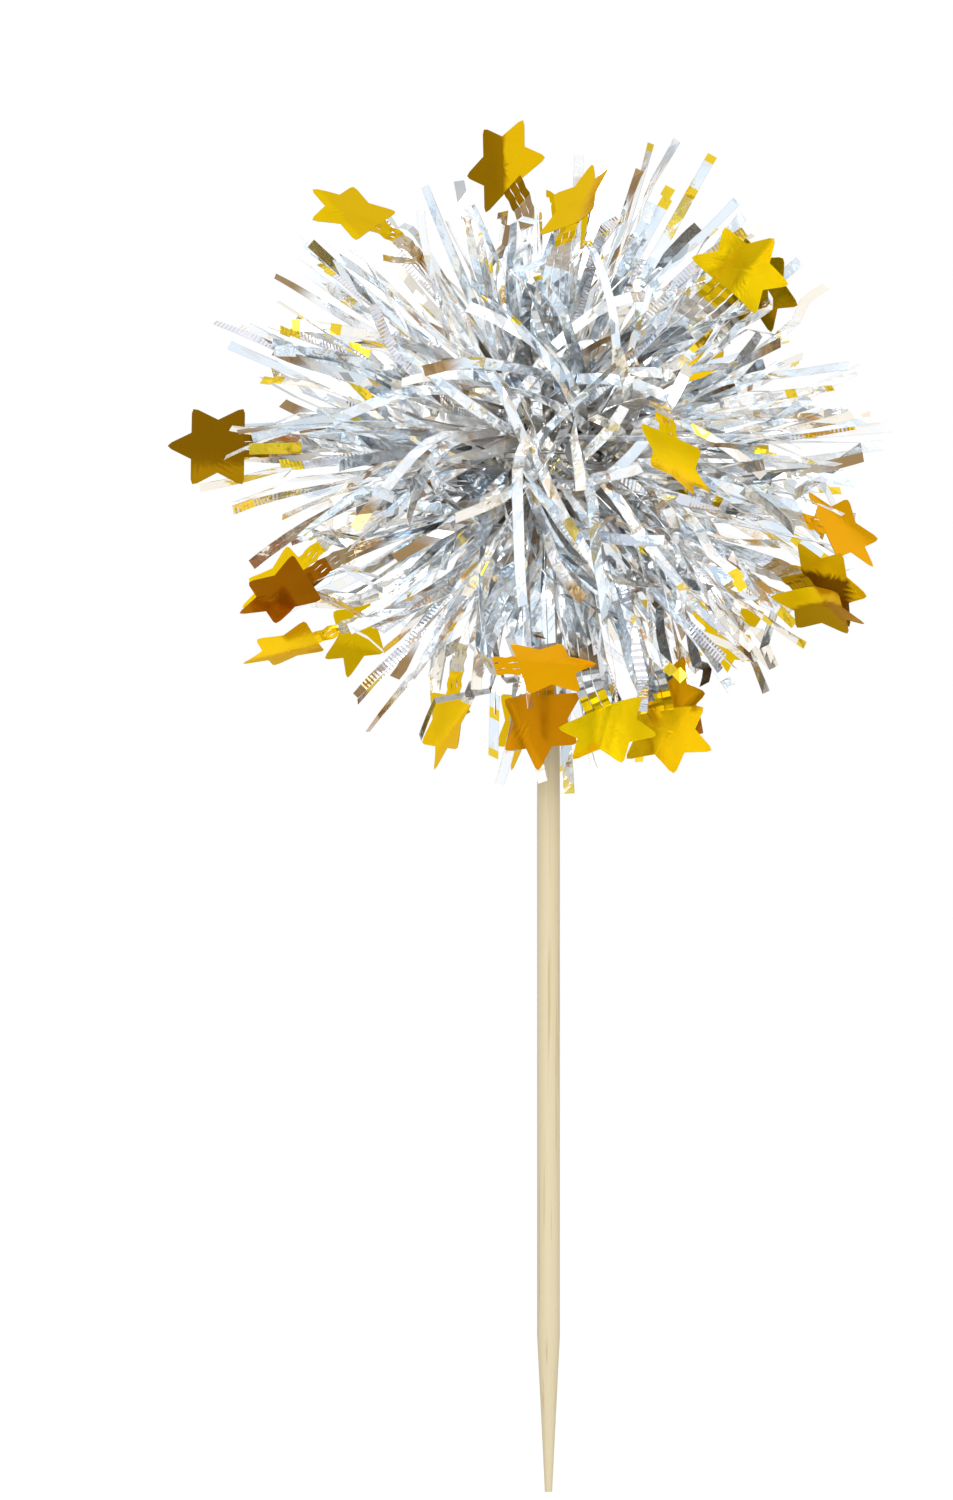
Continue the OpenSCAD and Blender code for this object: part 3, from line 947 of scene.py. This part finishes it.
NECK_FROM = 0.78
NECK_WIDTH = 0.9 * MM
FILM_THICKNESS = 0.06 * MM
BROWN_STEMS = ("star_02", "star_07", "star_12")
BROWN_PRINT = 0.05
STEM_LAP = 0.01
STEM_RINGS = 12
TINT_RANGE = 0.9
TINT_ROUNDS = 7
stem_times = np.linspace(0, NECK_FROM + STEM_LAP, STEM_RINGS)
lines = [stem_path(star, lane, stem_times) for star in stars for lane in LANES]
stem_mesh = path_mesh("star_stems_paths", lines)
to_fold = np.concatenate([np.linalg.norm(line[0] - line[0][-1], axis=1) / MM for line in lines])
kinds = [BROWN_PRINT if star.name in BROWN_STEMS else NO_PRINT for star in stars]
tints = np.linspace(0, TINT_RANGE, len(stars)) * TINT_ROUNDS % TINT_RANGE
points_each = len(LANES) * STEM_RINGS
store(stem_mesh, "to_tip", "FLOAT", to_fold)
store(stem_mesh, "print_kind", "FLOAT", np.repeat(kinds, points_each))
store(stem_mesh, "tint", "FLOAT", np.repeat(tints, points_each))
sizes = {"Width": NECK_WIDTH, "Thickness": FILM_THICKNESS, "Film": film}
stems = plain_mesh(ribbon_tree, "star_stems", sizes, stem_mesh)
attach(stems, "topper")
print(stems.name, len(stems.data.polygons), "faces")

# %% [markdown]
# ## Gold stars
#
# The stars were cut in the gold-printed edge of the film, each left on a neck of three strips. The foil is
# thin, so each star has picked up its own creases. One flat sheet of rings is bent for each star and given
# a thickness, and its neck comes from the ribbon tree. The neck is bare of print before the fold, brown or
# grey, and it crosses the fold.

# %% Gold finish
DEEP_GOLD = (0.16, 0.072, 0.001, 1)
BRIGHT_GOLD = (0.95, 0.66, 0.004, 1)
DEEP_AMBER = (0.17, 0.045, 0.001, 1)
AMBER = (0.95, 0.38, 0.003, 1)
YELLOW_SHEEN = (1, 0.7, 0.02, 1)
PRINT_FROM = -0.3
gold, print_coat = finish("gold_film")
shade = print_coat.attribute("shade")
warmth = print_coat.attribute("warmth")
past_fold = print_coat.attribute("past_fold")
place = print_coat.object_place()
# Painted reflection: each star's painted light sets its gold from deep olive to bright yellow, and a crease
# changes it past its line; it stands for the dark or bright room that the foil mirrors.
color = print_coat.mix(shade, DEEP_GOLD, BRIGHT_GOLD)
color = print_coat.mix(warmth, color, print_coat.mix(shade, DEEP_AMBER, AMBER))
clouds = stretched_noise(print_coat, place, (220, 220, 220), 2)
color = print_coat.mix(print_coat.ease(clouds, 0.5, 0.75) * 0.08, color, DEEP_GOLD)
# The bare neck before the fold is copper on stars with little painted light and grey on bright ones.
bare = print_coat.mix(shade, COPPER, GREY)
color = print_coat.mix(past_fold < PRINT_FROM, color, bare)
wrinkles = stretched_noise(print_coat, place, (520, 520, 520), 3)
dents = print_coat.bump(0.12, 0.1 * MM, wrinkles)
inputs = {"Base Color": color, "Metallic": 0.75, "Roughness": 0.14 + clouds * 0.1, "Normal": dents}
surface(print_coat, {**inputs, "Specular IOR Level": 0.05, "Specular Tint": YELLOW_SHEEN})
print("gold finish:", gold.name)

# %% Flat star
STAR_RADIUS = 5.8 * MM
STAR_INNER = STAR_RADIUS / math.sqrt(3)
STAR_MIDDLE = 5.3 * MM
TIP_ROUND = 0.35 * MM
EDGE_PARTS = 4
RINGS = 5
CORNER_STEP = 30
LAST_CORNER = 5


def heading(degrees):
    """The unit vector that this many degrees point to on the flat star, from its far point."""
    return np.array([math.cos(math.radians(degrees)), math.sin(math.radians(degrees))])


def star_outline():
    """The star's edge from one side of its base round to the other, with its points rounded."""
    corners = []
    for i in range(-LAST_CORNER, LAST_CORNER + 1):
        reach_here = STAR_RADIUS if i % 2 == 0 else STAR_INNER
        corners.append(reach_here * heading(CORNER_STEP * i))
    places = []
    for here, after in zip(corners, corners[1:] + corners[:1]):
        for part in range(EDGE_PARTS):
            places.append(here + (after - here) * part / EDGE_PARTS)
    places = np.array(places)
    reach_now = np.linalg.norm(places, axis=1)
    return places * np.minimum(1, (STAR_RADIUS - TIP_ROUND) / reach_now)[:, None]


outline = star_outline()
flat_places = np.vstack([[0, 0], *[outline * ring_no / RINGS for ring_no in range(1, RINGS + 1)]])
sides = len(outline)
flat_faces = [(0, 1 + i, 1 + (i + 1) % sides) for i in range(sides)]
for ring_no in range(RINGS - 1):
    low = 1 + ring_no * sides
    high = low + sides
    for i in range(sides):
        after = (i + 1) % sides
        flat_faces.append((low + i, high + i, high + after, low + after))
print("flat star:", len(flat_places), "points")


# %% Bent stars
@dataclass
class Look:
    """A star's painted light, its warmth, and its creases: heading, offset in mm, angle and change of painted
    light.
    """

    shade: float
    warmth: float
    creases: tuple


# Each star's painted light, and its change past each crease, stand for the dark or bright surroundings that
# its foil mirrors.
LOOKS = {
    "star_01": Look(0.10, 0.2, ((-116, 0.3, -14, 0.5),)),
    "star_02": Look(0.52, 0.0, ((60, 2.0, -14, 0.1),)),
    "star_03": Look(0.58, 0.0, ((-90, 1.5, 18, -0.1),)),
    "star_04": Look(0.60, 0.0, ((-80, 0.8, 22, 0.4), (100, 2.5, -16, 0.3))),
    "star_05": Look(0.45, 0.1, ((40, 1.5, 15, 0.2),)),
    "star_06": Look(0.02, 0.0, ((90, 2.4, -8, 0.04),)),
    "star_07": Look(0.17, 1.0, ((20, 1.8, -12, 0.1),)),
    "star_08": Look(0.75, 0.0, ((0, 2.0, 15, 0.0),)),
    "star_09": Look(0.82, 0.1, ((70, 1.0, 14, -0.12),)),
    "star_10": Look(0.75, 0.7, ((80, 0.5, 14, 0.1),)),
    "star_11": Look(0.38, 0.9, ((-60, 1.8, -15, 0.15),)),
    "star_12": Look(1.00, 0.0, ((60, 0.2, -20, 0.0),)),
    "star_13": Look(1.00, 0.3, ((60, 0.2, -20, 0.0),)),
    "star_14": Look(0.95, 0.7, ((0, 2.0, 12, -0.2),)),
    "star_15": Look(0.80, 0.0, ((0, 1.8, 24, 0.0), (180, 2.2, 18, 0.0))),
    "star_16": Look(0.70, 0.7, ((50, 2.0, 12, 0.0),)),
    "star_17": Look(0.70, 0.3, ((-90, -1.2, 8, -0.75), (0, 3.2, 8, 0.75))),
    "star_18": Look(0.15, 0.1, ((90, 0.8, -26, -0.1), (180, 0.5, 8, 0.45))),
}
PLAIN_LOOK = Look(0.80, 0.1, ((45, 1.5, 14, -0.2),))
SOFT_BEND = 0.5 * MM
PAINTED_LIGHT_EDGE = 0.2 * MM


def bent_sheet(places, look):
    """A star's points after its creases, with their heights and painted light. A crease moves what is past it
    and changes its painted light.
    """
    height = np.zeros(len(places))
    painted_light_here = np.full(len(places), look.shade)
    flat = places.copy()
    for turn, offset, angle, change in look.creases:
        way = heading(turn)
        past = flat @ way - offset * MM
        soft = SOFT_BEND * np.logaddexp(0, past / SOFT_BEND)
        height += soft * math.sin(math.radians(angle))
        painted_light_here += change * np.clip(past / PAINTED_LIGHT_EDGE + 0.5, 0, 1)
        flat -= np.outer(soft * (1 - math.cos(math.radians(angle))), way)
    return flat, height, np.clip(painted_light_here, 0, 1)


def star_sheet(star, look):
    flat, height, painted_light_here = bent_sheet(flat_places, look)
    along = flat[:, :1] + STAR_MIDDLE
    places = star.fold + along * star.along + flat[:, 1:] * star.across + height[:, None] * star.normal
    mesh = bpy.data.meshes.new(star.name + "_sheet")
    mesh.from_pydata(places, [], flat_faces)
    store(mesh, "past_fold", "FLOAT", along / MM)
    store(mesh, "shade", "FLOAT", painted_light_here)
    mesh.materials.append(gold)
    sheet = bpy.data.objects.new(star.name + "_sheet", mesh)
    bpy.context.scene.collection.objects.link(sheet)
    wall = sheet.modifiers.new("wall", "SOLIDIFY")
    wall.thickness = FILM_THICKNESS
    wall.offset = 0
    solid = bpy.data.meshes.new_from_object(sheet.evaluated_get(bpy.context.evaluated_depsgraph_get()))
    bpy.data.objects.remove(sheet)
    return solid


print("looks for", len(LOOKS), "stars")

# %% Stars with necks
NECK_RINGS = 7
NECK_TIMES = np.linspace(NECK_FROM, 1, NECK_RINGS)
NECK_END = 2.5 * MM
NECK_STEPS = (0.25, 0.5, 0.75, 1.0)
CRINKLE = 0.12 * MM
CRINKLE_STEP = 2.1
STAR_PHASE = 1.7


def neck_line(star, lane, number):
    """One strip of a star's neck: the end of its carrying strip, then straight on, with crinkles."""
    places, across, taper = stem_path(star, lane, NECK_TIMES)
    straight = [star.fold + star.along * NECK_END * s + star.across * lane * NECK_PITCH for s in NECK_STEPS]
    places = np.vstack([places, straight])
    wave = np.sin(np.arange(len(places)) * CRINKLE_STEP + number * STAR_PHASE + lane) * CRINKLE
    wave[0] = wave[-1] = 0
    places += wave[:, None] * star.normal
    across = np.vstack([across, np.tile(star.across, (len(NECK_STEPS), 1))])
    return places, across, np.append(taper, np.ones(len(NECK_STEPS)))


BLEND_BEFORE = 3 * MM
BLEND_AFTER = 2 * MM
for number, star in enumerate(stars):
    look = LOOKS.get(star.name, PLAIN_LOOK)
    lines = [neck_line(star, lane, number) for lane in LANES]
    neck_mesh = path_mesh(star.name + "_neck_paths", lines)
    beyond = np.concatenate([(line[0] - star.fold) @ star.along for line in lines]) / MM
    store(neck_mesh, "past_fold", "FLOAT", beyond)
    store(neck_mesh, "shade", "FLOAT", np.full(len(neck_mesh.vertices), look.shade))
    piece = plain_mesh(ribbon_tree, star.name + "_foil", {**sizes, "Film": gold}, neck_mesh)
    both = bmesh.new()
    both.from_mesh(piece.data)
    both.from_mesh(star_sheet(star, look))
    both.to_mesh(piece.data)
    both.free()
    store(piece.data, "warmth", "FLOAT", np.full(len(piece.data.vertices), look.warmth))
    start = star.fold - star.along * BLEND_BEFORE
    end = star.fold + star.along * BLEND_AFTER
    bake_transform(piece)
    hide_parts(star.name)
print(len(stars), "stars of", len(piece.data.polygons), "faces")

# %% [markdown]
# ## Binding wire and glue
#
# Two turns of drawn wire gather the film, and set hot glue holds it on the skewer's head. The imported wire
# is a run of flat-sided pieces, so a spiral curve with a round profile takes its place. The glue keeps its
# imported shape.

# %% Wire tree
STEEL = (0.62, 0.63, 0.64, 1)
DULL_STEEL = (0.42, 0.43, 0.45, 1)
WIRE_SIDES = 10
wire_finish, drawn = finish("wire")
scratches = stretched_noise(drawn, drawn.object_place(), (900, 900, 9000), 3)
color = drawn.mix(drawn.ease(scratches, 0.45, 0.7), STEEL, DULL_STEEL)
surface(drawn, {"Base Color": color, "Metallic": 1, "Roughness": 0.3 + scratches * 0.2})

WIRE_INPUTS = {"Turns": "Float", "Radius": "Float", "Pitch": "Float", "Diameter": "Float", "Wire": "Material"}
wire_tree, coil, given = new_tree("binding_wire", WIRE_INPUTS, "Coil")
radius = given.other("Radius")
rise = given * given.other("Pitch")
ends = {"Start Radius": radius, "End Radius": radius, "Height": rise}
path = coil.node("GeometryNodeCurveSpiral", {}, {"Resolution": HOOP_SIDES, "Rotations": given, **ends})
path = coil.node("GeometryNodeTransform", {}, {"Geometry": path, "Translation": coil.xyz(0, 0, rise * -0.5)})
circle = {"Resolution": WIRE_SIDES, "Radius": given.other("Diameter") / 2}
around = coil.node("GeometryNodeCurvePrimitiveCircle", {}, circle)
tube = swept(coil, path, around)
tube = coil.node("GeometryNodeTransform", {}, {"Geometry": tube, "Translation": tuple(BALL_CENTRE)})
end_tree(coil, tube, given.other("Wire"), "Coil")
print("wire tree:", len(wire_tree.nodes), "nodes")

# %% Wire and glue
WIRE_SIZES = {"Turns": 2, "Radius": 5.31 * MM, "Pitch": 0.9 * MM, "Diameter": 0.4 * MM}
DARK_GLUE = (0.82, 0.77, 0.66, 1)
PALE_GLUE = (0.92, 0.89, 0.82, 1)
binding = plain_mesh(wire_tree, "binding_coil", {**WIRE_SIZES, "Wire": wire_finish})
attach(binding, "topper")
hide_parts("binding_wire")

glue, set_glue = finish("glue")
runs = stretched_noise(set_glue, set_glue.object_place(), (400, 400, 150), 3)
color = set_glue.mix(runs, DARK_GLUE, PALE_GLUE)
lumps = set_glue.bump(0.4, 0.2 * MM, runs)
surface(set_glue, {"Base Color": color, "Roughness": 0.3 + runs * 0.2, "Normal": lumps})
sleeve = dress("glue_sleeve", glue)
print(binding.name, len(binding.data.polygons), "faces;", sleeve.name, "in", glue.name)

# %% [markdown]
# ## Sizes
#
# The boxes of the imported object and of the dressed one are both printed. The dressed object must stay the
# size of the imported one.

# %% Sizes
boxes = {"cad": cad_box, "visual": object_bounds()}
boxes = {name: [list(corner) for corner in box] for name, box in boxes.items()}
print(boxes)
